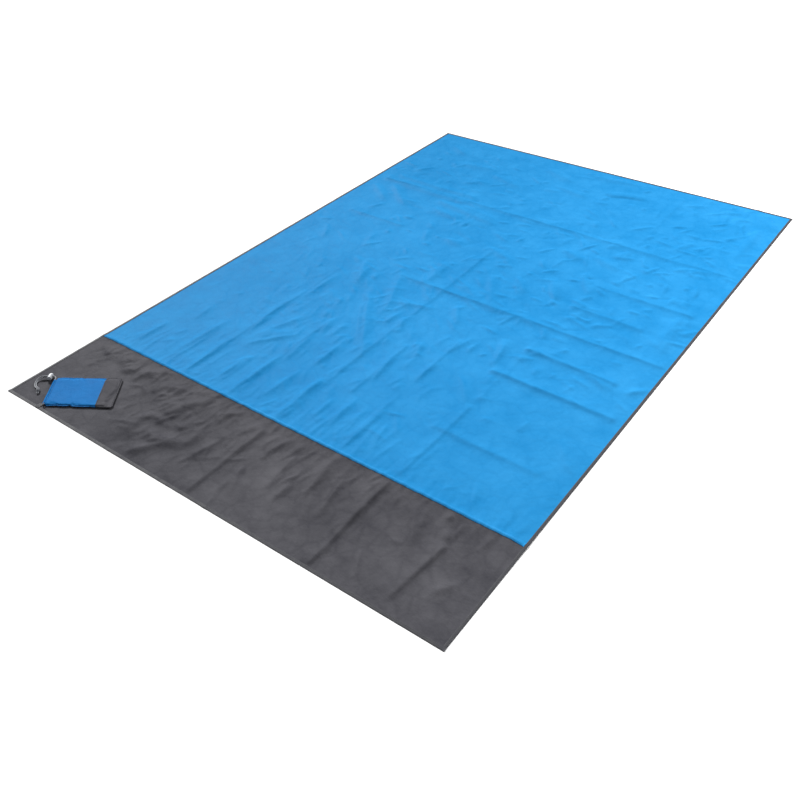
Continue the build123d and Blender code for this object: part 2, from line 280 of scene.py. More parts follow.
def cord_material():
    """Polyester drawcord, light grey. The braiding is in the mesh; this adds the yarns' fibres, and painted
    shade in the hollows between the yarns, lighter on their crowns.
    """
    shader = Shader("cord", IOR=1.5, Sheen_Weight=0.25, Sheen_Roughness=0.4)
    place = shader.place(uv=False)
    fibre = shader.noise(place, 3500.0, 2.0)
    soil = shader.noise(place, 180.0, 3.0)
    # painted shade and highlight: darker in the hollows of the braiding, lighter on the yarns' crowns
    painted_braid_shade = shader.math("MULTIPLY", shader.attribute("painted_braid_shade"), 0.6)
    tone = shader.add(shader.math("MULTIPLY", fibre, 0.4), painted_braid_shade)
    colour = shader.mix(tone, linear(84, 87, 94), linear(158, 161, 167))
    colour = shader.mix(shader.ramp(soil, 0.55, 0.8, 0.0, 0.35), colour, linear(120, 118, 114))
    shader.bump((fibre, 0.12 * MM, 0.6))
    return shader.set(Base_Color=colour, Roughness=shader.ramp(fibre, 0.3, 0.7, 0.6, 0.8))


def plastic_material(name, pale, dull):
    """Moulded plastic with a fine spark finish and handling scuffs."""
    shader = Shader(name, IOR=1.5, Coat_Weight=0.05, Coat_Roughness=0.3)
    place = shader.place(uv=False)
    grain = shader.noise(place, 4200.0, 2.0)
    scuff = shader.noise(place, 420.0, 6.0, 0.7)
    colour = shader.mix(shader.ramp(scuff, 0.45, 0.75), pale, dull)
    shader.bump((grain, 0.05 * MM, 0.5), (scuff, 0.1 * MM, 0.25))
    return shader.set(Base_Color=colour, Roughness=shader.ramp(scuff, 0.35, 0.7, 0.32, 0.55))


def steel_material():
    shader = Shader("spring_steel", Metallic=1.0)
    streak = shader.noise(shader.place(uv=False, scale=(1, 1, 6)), 1800.0, 3.0)
    colour = shader.mix(streak, linear(168, 170, 174), linear(206, 208, 212))
    shader.bump((streak, 0.03 * MM, 0.4))
    return shader.set(Base_Color=colour, Roughness=shader.ramp(streak, 0.3, 0.7, 0.22, 0.36))


def patch_material():
    """Matt white, with a fine grain and a little soil."""
    shader = Shader("patch", IOR=1.48, Sheen_Weight=0.3, Sheen_Roughness=0.35)
    place = shader.place(uv=False)
    weave = shader.weave(shader.place(uv=False, turn=POUCH_TURN), 0.22 * MM)
    soil = shader.noise(place, 260.0, 4.0)
    colour = shader.mix(shader.ramp(soil, 0.45, 0.8), linear(236, 238, 240), linear(208, 212, 214))
    shader.bump((weave, 0.08 * MM, 0.6))
    return shader.set(Base_Color=colour, Roughness=shader.ramp(weave, 0, 1, 0.5, 0.65))


def floor_material():
    shader = Shader("floor", IOR=1.3, Roughness=0.9)
    speck = shader.noise(shader.place(uv=False), 3.0, 3.0)
    return shader.set(Base_Color=shader.mix(speck, (0.93, 0.93, 0.935, 1), (0.95, 0.95, 0.95, 1)))


MATERIALS = {
    "blue_cloth": cloth_material("blue_cloth", (0.011, 0.188, 0.445), (0.029, 0.262, 0.570)),
    # the pouch is sewn from the blue cloth; pouch_cloth is that recipe made darker, as painted shade
    "pouch_cloth": cloth_material("pouch_cloth", (0.0085, 0.127, 0.37), (0.018, 0.183, 0.49)),
    "grey_cloth": cloth_material("grey_cloth", (0.042, 0.042, 0.050), (0.107, 0.106, 0.118)),
    "binding_tape": tape_material(),
    "blue_thread": thread_material("blue_thread", linear(20, 96, 168), linear(40, 130, 205)),
    "grey_thread": thread_material("grey_thread", linear(40, 41, 48), linear(78, 79, 88)),
    "cord": cord_material(),
    "lock_plastic": plastic_material("lock_plastic", linear(196, 199, 203), linear(168, 171, 176)),
    "spring_steel": steel_material(),
    "patch": patch_material(),
}

# ------------------------------------------------------------------------------- mesh helpers ----


def make(name, points, faces, material, uv=None, extra=()):
    """A smooth mesh piece with coordinates of the cloth, in metres, in its UV map."""
    mesh = bpy.data.meshes.new(name)
    mesh.from_pydata([tuple(p) for p in points], [], [tuple(f) for f in faces])
    mesh.update()
    mesh.polygons.foreach_set("use_smooth", [True] * len(mesh.polygons))
    for each in (material, *extra):
        mesh.materials.append(MATERIALS[each])
    if uv is not None:
        layer = mesh.uv_layers.new(name="cloth")
        corner = np.zeros(len(mesh.loops), dtype=np.int32)
        mesh.loops.foreach_get("vertex_index", corner)
        layer.data.foreach_set("uv", np.asarray(uv, float)[corner].astype(np.float32).ravel())
    return show(name, mesh)


def add_attribute(piece, name, values):
    made = piece.data.attributes.new(name, "FLOAT", "POINT")
    made.data.foreach_set("value", values.astype(np.float32))


def grid_faces(rows, columns, closed=False, offset=0):
    """Quads between rows of points, each row with this many columns; closed joins the last to the first."""
    made = []
    for start in range(offset, offset + (rows - 1) * columns, columns):
        for c in range(columns if closed else columns - 1):
            d = (c + 1) % columns
            made.append((start + c, start + d, start + columns + d, start + columns + c))
    return made


def tube_faces(rows, sides, offset=0, flip=False):
    """A closed grid of faces, with a cap at each end; flip turns the caps the other way."""
    first = range(offset, offset + sides)
    last = range(offset + (rows - 1) * sides, offset + rows * sides)
    caps = (first, reversed(last)) if flip else (reversed(first), last)
    return grid_faces(rows, sides, True, offset) + [tuple(cap) for cap in caps]


def unit(vectors):
    return vectors / np.linalg.norm(vectors, axis=-1, keepdims=True)


def ring_angles(sides):
    return 2 * math.pi * np.arange(sides) / sides


def swept(centre, side, up, across, high):
    """The points of a tube: at each centre, a ring that lies across it by some and above it by some."""
    rings = centre[:, None] + across[..., None] * side[..., None, :] + high[..., None] * up[..., None, :]
    return rings.reshape(-1, 3)


def measured(line):
    """A line's points, and how far along it each of them is."""
    line = np.asarray(line, float)
    return line, np.concatenate([[0], np.cumsum(np.linalg.norm(np.diff(line, axis=0), axis=1))])


def points_at(run, at, line):
    return np.stack([np.interp(run, at, line[:, k]) for k in range(3)], axis=1)


def apply_modifiers(piece):
    bpy.context.view_layer.update()
    graph = bpy.context.evaluated_depsgraph_get()
    mesh = bpy.data.meshes.new_from_object(piece.evaluated_get(graph), depsgraph=graph)
    piece.modifiers.clear()
    piece.data = mesh
    return piece


def finish_piece(piece, body=None, slot=None, nodes=(), blend=None):
    """Puts the piece under its body's empty and hides the CAD nodes that it stands for; with a blend it only
    has its transform baked in, and follows no joint. slot is not used.
    """
    if nodes:
        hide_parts(*nodes)
    if blend:
        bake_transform(piece)
    else:
        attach(piece, body)
    return piece


# ---------------------------------------------------------------------------- relief of cloth ----

# Sharp creases where the sheet was folded: start x and y, end x and y, height, all in mm.
CREASES = (
    (-660, 530, 690, 530, 4.6), (-200, 10, 690, 10, 5.6), (-610, 268, -360, 268, 2.6),
    (340, 272, 660, 272, 5.6), (330, 140, 570, 136, 5.8), (330, -110, 620, -118, 6.6),
    (300, -240, 680, -244, 5.6), (300, -500, 620, -505, 2.4), (-370, -660, -370, -40, 2),
    (-200, -690, -200, -280, 2), (-20, -998, -20, -730, 6), (-20, -680, -20, 290, 2.2),
    (60, -520, 60, -260, 2.8), (170, -660, 170, -160, 2.8), (350, -998, 347, -703, 7.5),
    (350, -690, 350, -380, 2.2), (350, -380, 350, 950, 0.8), (538, -968, 560, -785, 7),
    (630, 80, 630, 240, 2),
)

# Soft wrinkles: start x and y, end x and y, height (negative dips) and half width, all in mm.
WRINKLES = (
    (-200, -120, -20, -370, 4.2, 15), (-235, -110, -75, -345, -2, 13), (-330, 20, -270, -85, 3.6, 14),
    (-187, 20, -110, -140, 3.4, 13), (66, 148, 153, 8, 3.8, 12), (133, 193, 180, 140, 3.4, 11),
    (233, 230, 280, 150, 3.2, 11), (293, 310, 353, 235, 3.6, 11), (66, -40, 113, -110, 3, 11),
    (280, -115, 300, -205, 3.2, 11), (150, 195, 270, 145, -2.2, 14), (-600, 568, -290, 574, 2.4, 12),
    (-580, 526, -270, 524, 2.2, 12), (-370, 487, -125, 440, 3.2, 12), (-350, 430, -255, 405, 3.2, 11),
    (-220, 480, -130, 460, 3.4, 12), (-580, 495, -470, 405, 2.8, 12), (-645, 465, -560, 405, 2.6, 12),
    (-315, 760, -205, 730, 3.2, 13), (-167, 905, -60, 865, 3.4, 14), (100, 840, 220, 868, 3.6, 14),
    (127, 815, 235, 840, -2.6, 12), (-20, 945, 160, 955, 2.2, 12), (-60, 800, 40, 780, 2.4, 12),
    (-480, 780, -360, 800, 2.2, 16), (-590, 900, -520, 860, 2.2, 14), (600, 955, 690, 875, 3, 13),
    (540, 890, 580, 785, 2.6, 12), (633, 850, 633, 665, 2.8, 12), (566, 670, 620, 560, 3, 12),
    (626, 240, 646, 80, 2.4, 11), (645, -130, 690, -90, 2.6, 11), (520, -120, 610, -140, 1.8, 12),
    (590, -370, 660, -450, 2.4, 14), (270, -310, 330, -380, 2.4, 12), (160, 420, 240, 395, 2.4, 12),
    (280, 425, 350, 400, 2.6, 12), (-190, 270, -130, 262, 2, 12), (-40, 300, 60, 265, 2.8, 12),
    (-110, 140, -90, 40, 2.2, 12),
    # puckers running away from the panel seam on the blue side
    (-592, -560, -594, -655, 2.6, 10), (-545, -420, -540, -500, 2.4, 12), (-450, -460, -465, -640, 3, 13),
    (-380, -520, -372, -690, 3.2, 9), (-290, -440, -310, -420, 1.8, 15), (-250, -390, -320, -470, 2.2, 16),
    (-280, -560, -274, -640, 2.8, 10), (-205, -500, -200, -690, 3.2, 11), (-115, -520, -122, -640, 3, 11),
    (-42, -520, -35, -690, 3.4, 10), (38, -560, 40, -630, 2.8, 9), (90, -530, 94, -630, 3, 10),
    (175, -520, 177, -660, 3, 9), (215, -560, 232, -630, 2.6, 9),
    # between those and the sheet's middle
    (-358, -456, -376, -329, 2.8, 9), (-318, -496, -234, -401, 2.6, 10), (-356, -233, -352, -95, 2, 10),
    (-183, -495, -192, -382, 2.4, 10), (-331, -472, -276, -308, 2, 13), (-100, -471, -96, -384, 2.4, 10),
    (-61, -213, -57, -159, 2.4, 9), (-90, -348, -92, -309, 2, 8), (-276, -76, -297, -10, 2.8, 10),
    (60, -329, 70, -427, 3.2, 9), (172, -294, 167, -364, 2.4, 8), (-30, -168, -5, -220, 2.6, 9),
    (10, 77, 107, 18, 2.6, 11), (85, -234, 109, -305, 2.4, 9), (171, -226, 186, -153, 1.8, 9),
    (-97, 28, -92, 141, 2, 9), (-113, -114, 5, -84, 1.8, 10), (-48, -589, -38, -512, 2.8, 9),
    (-187, -346, -196, -275, 1.8, 9),
    # grey panel: broad folds beside the pouch, then single folds towards the right
    (-373, -793, -363, -762, 3, 11), (-363, -762, -299, -740, 3.4, 11), (-269, -838, -261, -796, 4.4, 14),
    (-261, -796, -229, -752, 4.4, 14), (-261, -901, -212, -911, 3.6, 13), (-212, -911, -143, -883, 4.2, 14),
    (-143, -883, -142, -831, 3.4, 12), (-202, -857, -181, -835, 2.6, 9), (-244, -985, -200, -921, 3.6, 12),
    (-529, -785, -492, -757, 3, 12), (-470, -758, -413, -727, 2.6, 11), (-320, -860, -300, -930, 2.4, 14),
    (-148, -759, -113, -731, 3.4, 8), (-220, -760, -219, -721, 3.2, 7), (-110, -928, -85, -828, 2.4, 8),
    (-60, -790, -50, -735, 2.6, 8), (45, -800, 50, -735, 2.4, 9), (30, -870, 60, -930, 2, 11),
    (120, -870, 110, -780, 2.4, 9), (160, -900, 168, -830, 1.8, 10), (211, -839, 190, -721, 4.2, 9),
    (275, -868, 255, -771, 3.6, 9), (498, -837, 443, -739, 2.6, 13), (539, -754, 551, -779, 2.6, 8),
    (521, -732, 518, -713, 2.6, 7), (630, -860, 600, -900, 1.6, 12),
)

NEAR_LIMIT, FAR_LIMIT, SWEPT_LIMIT = 9.4 * MM, 5.4 * MM, 4.0 * MM  # highest relief
GENTLE_SIDE, STEEP_LEVEL, STEEP_UPRIGHT = 16.0 * MM, 8.5 * MM, 5.2 * MM  # widths of a crease's two sides
CREASE_FADE = 20 * MM
# how wide the painted shade along a crease is, and the crease height at which it is at full strength
SHADE_WIDTH, SHADE_FULL_HEIGHT = 5.5 * MM, 6.0 * MM
ROUNDNESS = 1.4  # a wrinkle's section, between a ridge at 1 and a bell at 2
PUCKER_PITCH = 47 * MM
REST_U, REST_V = (-0.142, 0.100), 0.068  # how far the pouch, its ribbon and its cord lie along and across
SWEPT_REACH, SWEPT_FROM, SWEPT_TO = (0.215, 0.250), (-14, -2), (93, 105)  # metres, and bearings in degrees


def in_metres(rows):
    return [[value / 1000 for value in row] for row in rows]


def segment_distance(x, y, x0, y0, x1, y1):
    """Distance from points to a segment, and how far along it the nearest point is, 0 to 1."""
    dx, dy = x1 - x0, y1 - y0
    along = np.clip(((x - x0) * dx + (y - y0) * dy) / (dx * dx + dy * dy), 0, 1)
    return np.hypot(x - x0 - along * dx, y - y0 - along * dy), along


def smooth(value, low, high):
    t = np.clip((value - low) / (high - low), 0, 1)
    return t * t * (3 - 2 * t)


def noise_at(x, y, scale, seed):
    """Smooth noise at points, about -1 to 1: three octaves of a seeded lattice."""
    size = 64
    lattice = np.random.default_rng(seed).uniform(-1, 1, (size, size))
    made = np.zeros(x.shape)
    for octave in range(3):
        u, v = x * scale * 2**octave + 19.3 * octave, y * scale * 2**octave + 7.1 * octave
        i, j = np.floor(u).astype(int), np.floor(v).astype(int)
        s, t = smooth(u - i, 0, 1), smooth(v - j, 0, 1)
        low = lattice[i % size, j % size] * (1 - s) + lattice[(i + 1) % size, j % size] * s
        high = lattice[i % size, (j + 1) % size] * (1 - s) + lattice[(i + 1) % size, (j + 1) % size] * s
        made += (low * (1 - t) + high * t) * 0.5**octave
    return made


# Where the small folds are: how many, centre x and y and spread x and y in metres, heading and its spread
# in degrees, highest in mm.
PATCHES = (
    (110, -0.26, -0.83, 0.14, 0.08, 60, 45, 3.6),
    (55, 0.02, -0.80, 0.14, 0.06, 95, 18, 3.2),
    (40, -0.55, -0.76, 0.12, 0.03, 20, 25, 3.0),
    (170, -0.15, -0.33, 0.22, 0.17, 98, 28, 3.2),
    (110, -0.12, 0.00, 0.26, 0.16, -50, 45, 3.8),
    (60, -0.40, -0.30, 0.16, 0.20, 88, 25, 2.0),
    (150, 0.10, 0.42, 0.34, 0.28, -10, 45, 4.2),
    (150, 0.42, 0.15, 0.16, 0.35, 20, 60, 4.2),
    (80, -0.35, 0.70, 0.22, 0.18, 5, 30, 3.6),
    (70, 0.55, 0.70, 0.10, 0.20, 80, 45, 4.4),
    (40, 0.40, -0.40, 0.18, 0.20, 60, 45, 1.6),
)


def small_wrinkles():
    """Short folds scattered over the sheet in patches: ends, height and half width, in metres."""
    scatter = random.Random(11)
    made = []
    for count, middle_x, middle_y, spread_x, spread_y, heading, fan, highest in PATCHES:
        for _ in range(count):
            x, y = scatter.gauss(middle_x, spread_x), scatter.gauss(middle_y, spread_y)
            turn = math.radians(scatter.gauss(heading, fan))
            half = 0.5 * scatter.uniform(0.018, 0.075)
            dx, dy = half * math.cos(turn), half * math.sin(turn)
            high = scatter.uniform(0.35, 1.0) * highest * MM * (1 if scatter.random() < 0.75 else -0.6)
            made.append((x - dx, y - dy, x + dx, y + dy, high, scatter.uniform(3.8, 9) * MM))
    # puckers that the seam throws on both sides, fewer towards the right
    for side, reach in ((1, 0.16), (-1, 0.10)):
        x = LEFT + 0.03
        while x < RIGHT - 0.03:
            x += scatter.uniform(0.014, 0.042) * (1.0 if x < 0.25 else 3.0)
            long = scatter.uniform(0.030, reach)
            slant = scatter.gauss(0.0, 0.020)
            start = SEAM_Y + side * scatter.uniform(0.006, 0.030)
            high = scatter.uniform(1.6, 3.8) * MM
            made.append((x, start, x + slant, start + side * long, high, scatter.uniform(4.5, 8) * MM))
    return made


def near_creases(x, y, drift):
    """For each crease: its height, the points' distance from it, its share there, which points are on its
    lit side, and whether it is level."""
    wander = 0.002 * drift
    for x0, y0, x1, y1, height in in_metres(CREASES):
        level = abs(x1 - x0) > abs(y1 - y0)
        across = (x, y + wander) if level else (x + wander, y)
        away, along = segment_distance(*across, x0, y0, x1, y1)
        long = math.hypot(x1 - x0, y1 - y0)
        share = smooth(along * long, 0, CREASE_FADE) * (1 - smooth(along * long, long - CREASE_FADE, long))
        lit = (x1 - x0) * math.sin(KEY_AZIMUTH) - (y1 - y0) * math.cos(KEY_AZIMUTH)
        side = (x1 - x0) * (across[1] - y0) - (y1 - y0) * (across[0] - x0)
        yield height, away, share * (0.75 + 0.45 * drift), side * lit > 0, level


def painted_fold_shade(x, y):
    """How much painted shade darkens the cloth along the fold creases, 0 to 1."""
    painted_shade = np.zeros(x.shape)
    for height, away, share, _, _ in near_creases(x, y, noise_at(x, y, 5.0, 1)):
        line = np.exp(-((away / SHADE_WIDTH) ** 2))
        painted_shade = np.maximum(painted_shade, min(1.0, height / SHADE_FULL_HEIGHT) * share * line)
    return painted_shade.clip(0, 1) * (0.75 + 0.5 * noise_at(x, y, 30.0, 4)).clip(0.2, 1)


def crease_heights(x, y, drift):
    flat = np.zeros(x.size)
    for height, away, share, lit, level in near_creases(x, y, drift):
        width = np.where(lit, GENTLE_SIDE, STEEP_LEVEL if level else STEEP_UPRIGHT)
        flat += 1.5 * height * np.exp(-away / width) * share
    return flat


def fold_heights(x, y, wander):
    """The wrinkles measured one by one, and the small ones scattered between them."""
    folds = np.zeros(x.size)
    for x0, y0, x1, y1, height, wide in in_metres(WRINKLES):
        away, along = segment_distance(x + wander, y - wander, x0, y0, x1, y1)
        ends = np.sin(np.pi * np.clip(along * 0.86 + 0.07, 0, 1)) ** 0.7
        folds += 2.6 * height * np.exp(-((away / wide) ** ROUNDNESS)) * ends
    for x0, y0, x1, y1, height, wide in small_wrinkles():
        near = np.abs(x - 0.5 * (x0 + x1)) < 0.5 * abs(x1 - x0) + 4 * wide
        near &= np.abs(y - 0.5 * (y0 + y1)) < 0.5 * abs(y1 - y0) + 4 * wide
        bent = wander[near]
        away, along = segment_distance(x[near] + bent, y[near] - bent, x0, y0, x1, y1)
        ends = np.sin(np.pi * np.clip(along * 0.9 + 0.05, 0, 1))
        folds[near] += height * np.exp(-((away / wide) ** ROUNDNESS)) * ends
    # stronger at the middle, the far end and the far right; calmer just past the seam and at its right end
    calm = 1 - 0.34 * smooth(y, SEAM_Y, SEAM_Y + 0.04) * (1 + 0.5 * smooth(x, 0.15, 0.4))
    right = smooth(x, 0.05, 0.30) * smooth(y, -0.30, -0.05)
    middle = np.exp(-(((x + 0.10) / 0.22) ** 2) - ((y + 0.15) / 0.22) ** 2)
    return folds * (calm + 0.55 * smooth(y, -0.05, 0.25) + 0.5 * right + 0.22 * middle)


def seam_heights(x, y, drift):
    """The sewn seam draws the cloth up into a ridge, in short puckers on both sides."""
    off = np.abs(y - SEAM_Y)
    phase = 2 * math.pi * (x / PUCKER_PITCH + 0.5 * drift)
    puckers = 2.2 + 0.6 * np.sin(phase) + 0.4 * np.sin(2.3 * phase + 1.0)
    return MM * (np.exp(-off / 0.045) * puckers + 3.2 * np.exp(-off / 0.0055))


def relief(x, y):
    """Height of the laid cloth above flat, in metres."""
    shape = x.shape
    x, y = x.ravel(), y.ravel()
    drift, lift = noise_at(x, y, 5.0, 1), noise_at(x, y, 3.1, 2)
    # gentle swells
    flat = 0.6 * MM * (1 + lift) * (0.6 + 0.4 * drift) + 0.5 * MM * (1 + noise_at(x, y, 11.0, 3))
    flat += crease_heights(x, y, drift) + fold_heights(x, y, 0.004 * drift) + seam_heights(x, y, drift)
    # the tape gathers the edges a little
    edge = np.minimum(np.minimum(x - LEFT, RIGHT - x), np.minimum(y - NEAR, FAR - y))
    ripple = np.sin(2 * math.pi * (x + y) / 0.031 + 3 * drift)
    ripple += np.sin(2 * math.pi * (x - y) / 0.043 + 2 * lift)
    flat += 0.35 * MM * (1 + 0.5 * ripple) * np.exp(-np.maximum(edge, 0) / 0.018)
    flat *= 0.28 + 0.72 * smooth(edge, 0.002, 0.045)
    # flat under the pouch, its ribbon and its cord
    c, s = math.cos(POUCH_TURN), math.sin(POUCH_TURN)
    u = (x - POUCH_CENTRE[0]) * c + (y - POUCH_CENTRE[1]) * s
    v = -(x - POUCH_CENTRE[0]) * s + (y - POUCH_CENTRE[1]) * c
    outside = np.maximum(np.maximum(REST_U[0] - u, u - REST_U[1]), np.abs(v) - REST_V)
    flat *= smooth(outside, 0.0, 0.030)
    # lower where the pouch swings over the sheet on its ribbon
    reach = np.hypot(x - SWIVEL[0], y - SWIVEL[1])
    bearing = np.degrees(np.arctan2(y - SWIVEL[1], x - SWIVEL[0]))
    swept = smooth(bearing, *SWEPT_FROM) * (1 - smooth(bearing, *SWEPT_TO))
    swept *= 1 - smooth(reach, *SWEPT_REACH)
    flat *= 1 - (0.45 + 0.45 * smooth(bearing, 50, 65)) * swept
    # below each fold's axis, so that the folded layers lie clear of each other
    limit = NEAR_LIMIT + (FAR_LIMIT - NEAR_LIMIT) * smooth(y, -0.05, 0.05)
    limit += (SWEPT_LIMIT - NEAR_LIMIT) * swept
    return (limit * np.tanh(np.maximum(flat, 0) / limit)).reshape(shape)


def lines(low, high, snaps):
    """Grid positions about one GRID apart, moved onto the creases."""
    made = np.linspace(low, high, max(2, round((high - low) / GRID)) + 1)
    for s in snaps:
        if low + GRID < s < high - GRID:
            made[np.argmin(np.abs(made - s))] = s
    return made


def laid_sheet(name, y_low, y_high, material):
    """Cloth between two rows, with relief. At the split it matches its neighbour's height and slope."""
    creases = in_metres(CREASES)
    upright = [c[0] for c in creases if abs(c[2] - c[0]) < 0.01]
    level = [c[1] for c in creases if abs(c[3] - c[1]) < 0.01]
    xs = lines(LEFT + SHEET_INSET, RIGHT - SHEET_INSET, upright)
    ys = lines(y_low, y_high, level)
    x, y = np.meshgrid(xs, ys)
    z = CLOTH_LOW + relief(x, y)
    for row, inner, at in ((0, 1, y_low), (-1, -2, y_high)):
        if at == SPLIT_Y:
            step = np.full_like(xs, 1.5 * MM)
            both = relief(np.stack([xs, xs]), np.stack([at - step, at + step]))
            z[row] = CLOTH_LOW + both.mean(axis=0)
            z[inner] = z[row] + (both[1] - both[0]) / (2 * step) * (ys[inner] - at)
    x, y, z = x.ravel(), y.ravel(), np.maximum(z, CLOTH_LOW).ravel()
    faces = grid_faces(len(ys), len(xs))
    piece = make(name, np.column_stack([x, y, z]), faces, material, np.column_stack([x, y]))
    # painted shade along the folds, kept on the points for the cloth material
    add_attribute(piece, "painted_fold_shade", painted_fold_shade(x, y))
    return piece


# ------------------------------------------------------------------------------------ sewing ----


def stitches(line, pitch=3.6 * MM, length=2.7 * MM, radius=0.28 * MM):
    """Running stitches along a line of points: little bent capsules. Returns points and faces."""
    line, at = measured(line)
    count = int((at[-1] - length) / pitch)
    marks, ring = np.linspace(0, 1, 4), ring_angles(5)
    bow = np.sin(math.pi * marks)
    thick = radius * (0.45 + 0.55 * bow**0.4)
    sink = radius * (1.2 * bow**0.5 - 0.9)
    across, high = np.outer(thick, np.cos(ring)), sink[:, None] + np.outer(thick, np.sin(ring))
    points, faces = [], []
    for i in range(count):
        start = i * pitch + 0.5 * (at[-1] - count * pitch)
        centre = points_at(start + marks * length, at, line)
        ahead = unit(centre[-1] - centre[0])
        side = unit(np.cross(ahead, (0, 0, 1)))
        faces += tube_faces(len(marks), len(ring), len(points))
        points += list(swept(centre, side, np.cross(side, ahead), across, high))
    return points, faces


def stitch_rows(rows, **how):
    """Stitches along each of the rows, as one set of points and faces."""
    points, faces = [], []
    for row in rows:
        more, quads = stitches(row, **how)
        faces += [tuple(len(points) + i for i in quad) for quad in quads]
        points += more
    return points, faces


def with_thread(name, points, faces, uv, rows, material, thread):
    """A piece with stitches joined in, as its second material."""
    sewn, sewn_faces = stitch_rows(rows)
    base, plain = len(points), len(faces)
    points = [*map(tuple, points), *map(tuple, sewn)]
    uv = [*map(tuple, uv), *((p[0], p[1]) for p in sewn)]
    faces = [*faces, *(tuple(base + i for i in face) for face in sewn_faces)]
    piece = make(name, points, faces, material, uv, (thread,))
    index = np.zeros(len(faces), dtype=np.int32)
    index[plain:] = 1
    piece.data.polygons.foreach_set("material_index", index)
    return piece


def on_relief(xy, height):
    """Points at this height above the laid cloth."""
    return np.column_stack([xy, height + relief(xy[:, 0], xy[:, 1])])


def strip(along, inward, profile):
    """Sweeps a profile of (inward, height) pairs along points on the sheet, over its relief."""
    along, run = measured(along)
    inward = np.asarray(inward, float)
    across = np.array([p[0] for p in profile])
    high = np.array([p[1] for p in profile])
    xy = along[:, None, :] + across[None, :, None] * inward[None, None, :]
    z = high[None, :] + relief(xy[..., 0], xy[..., 1])
    points = np.concatenate([xy, z[..., None]], axis=2).reshape(-1, 3)
    rows, columns = xy.shape[:2]
    around = np.cumsum(np.abs(np.gradient(across)))
    uv = np.column_stack([np.repeat(run, columns), np.tile(around, rows)])
    return points, tube_faces(rows, columns, flip=True), uv


def binding(name, start, end, inward, body=None, nodes=(), blend=None):
    """Tape folded round the sheet's edge, with a row of stitches near its inner side."""
    wide, top = TAPE_WIDTH, TAPE_TOP
    over = (
        (wide, top - 0.25 * MM), (wide - 0.25 * MM, top), (wide - 2.4 * MM, top - 0.04 * MM),
        (0.55 * wide, top + 0.06 * MM), (0.22 * wide, top + 0.04 * MM), (0.6 * MM, top - 0.06 * MM),
    )
    under = (
        (0.6 * MM, 0.06 * MM), (0.5 * wide, 0.02 * MM), (wide - 0.3 * MM, 0.03 * MM), (wide, CLOTH_LOW),
    )
    count = max(3, round(math.dist(start, end) / GRID))
    along = np.linspace(start, end, count + 1)
    points, faces, uv = strip(along, inward, (*over, (0.0, 0.5 * top), *under))
    sewn = along + np.array(inward) * (wide - 1.7 * MM)
    rows = [on_relief(sewn, top + 0.02 * MM)]
    piece = with_thread(name, points, faces, uv, rows, "binding_tape", "grey_thread")
    return finish_piece(piece, body, "binding_tape", nodes, blend)


# ------------------------------------------------------------------------------------- cords ----

CORD_RADIUS, BRAID_PITCH = 1.5 * MM, 5.0 * MM
KNOT_CORD = 1.42 * MM
KNOT_TURNS, KNOT_STEPS, KNOT_WIDE = 2.1, 24, 3.05 * MM
KNOT_TAILS = ((2.5, 2.04, 4.0), (6.0, 1.7, 3.3), (9.0, 1.7, 3.1))  # beyond the knot, apart, above, in mm
SPRING_FLOOR, SPRING_TOP = (-0.105, 0.0493, 0.0075), (-0.105, 0.0538, 0.0075)

# Routes in the pouch's frame.
UPPER_STRAND = (
    (-0.086, 0.042, 0.0081), (-0.086, 0.050, 0.0081), (-0.0925, 0.057, 0.0089), (-0.102, 0.0573, 0.0091),
    (-0.114, 0.0573, 0.0091), (-0.127, 0.057, 0.0091), (-0.136, 0.051, 0.0064), (-0.1395, 0.040, 0.0037),
    (-0.1372, 0.027, 0.0028), (-0.130, 0.0155, 0.0028), (-0.1195, 0.008, 0.0048),
)
LOWER_STRAND = (
    (-0.090, 0.042, 0.0038), (-0.090, 0.050, 0.0038), (-0.0955, 0.057, 0.0055), (-0.104, 0.0573, 0.0059),
    (-0.114, 0.0573, 0.0059), (-0.1265, 0.057, 0.0057), (-0.133, 0.050, 0.0038), (-0.1358, 0.040, 0.0028),
    (-0.1338, 0.0285, 0.0028), (-0.127, 0.0175, 0.0028), (-0.1172, 0.0106, 0.0048),
)
CHANNEL_RUN = (
    (-0.090, 0.0418, 0.0038), (-0.090, -0.045, 0.0038), (-0.090, -0.0515, 0.0038),
    (-0.0893, -0.0544, 0.0045), (-0.088, -0.0552, 0.00595), (-0.0867, -0.0544, 0.0074),
    (-0.086, -0.0515, 0.0081), (-0.086, -0.045, 0.0081), (-0.086, 0.0418, 0.0081),
)
KNOT_ENDS = ((-0.1182, 0.0096, 0.0057), (-0.1152, -0.0006, 0.0058))


def skewed(points):
    """The pouch's cloth lies a little out of square: it slides along u, but not at the cord's exit."""
    points = np.array(points, float)
    points[:, 0] += POUCH_SKEW * (CHANNEL_END_V - points[:, 1])
    return points


def to_row(points):
    """From the pouch's frame to the row frame."""
    u, v, z = np.asarray(points, float).T
    c, s = math.cos(POUCH_TURN), math.sin(POUCH_TURN)
    return np.column_stack([POUCH_CENTRE[0] + u * c - v * s, POUCH_CENTRE[1] + u * s + v * c, z])


def spline_line(route):
    """Points along the route's smooth spline, in the row frame."""
    curve = bpy.data.curves.new("route", "CURVE")
    curve.dimensions = "3D"
    spline = curve.splines.new("NURBS")
    spline.points.add(len(route) - 1)
    for point, place in zip(spline.points, to_row(route)):
        point.co = (*place, 1)
    spline.order_u = 3
    spline.use_endpoint_u = True
    spline.resolution_u = 24
    holder = show("route", curve)
    bpy.context.view_layer.update()
    mesh = bpy.data.meshes.new_from_object(holder)
    found = np.array([v.co for v in mesh.vertices])
    bpy.data.objects.remove(holder)
    return found


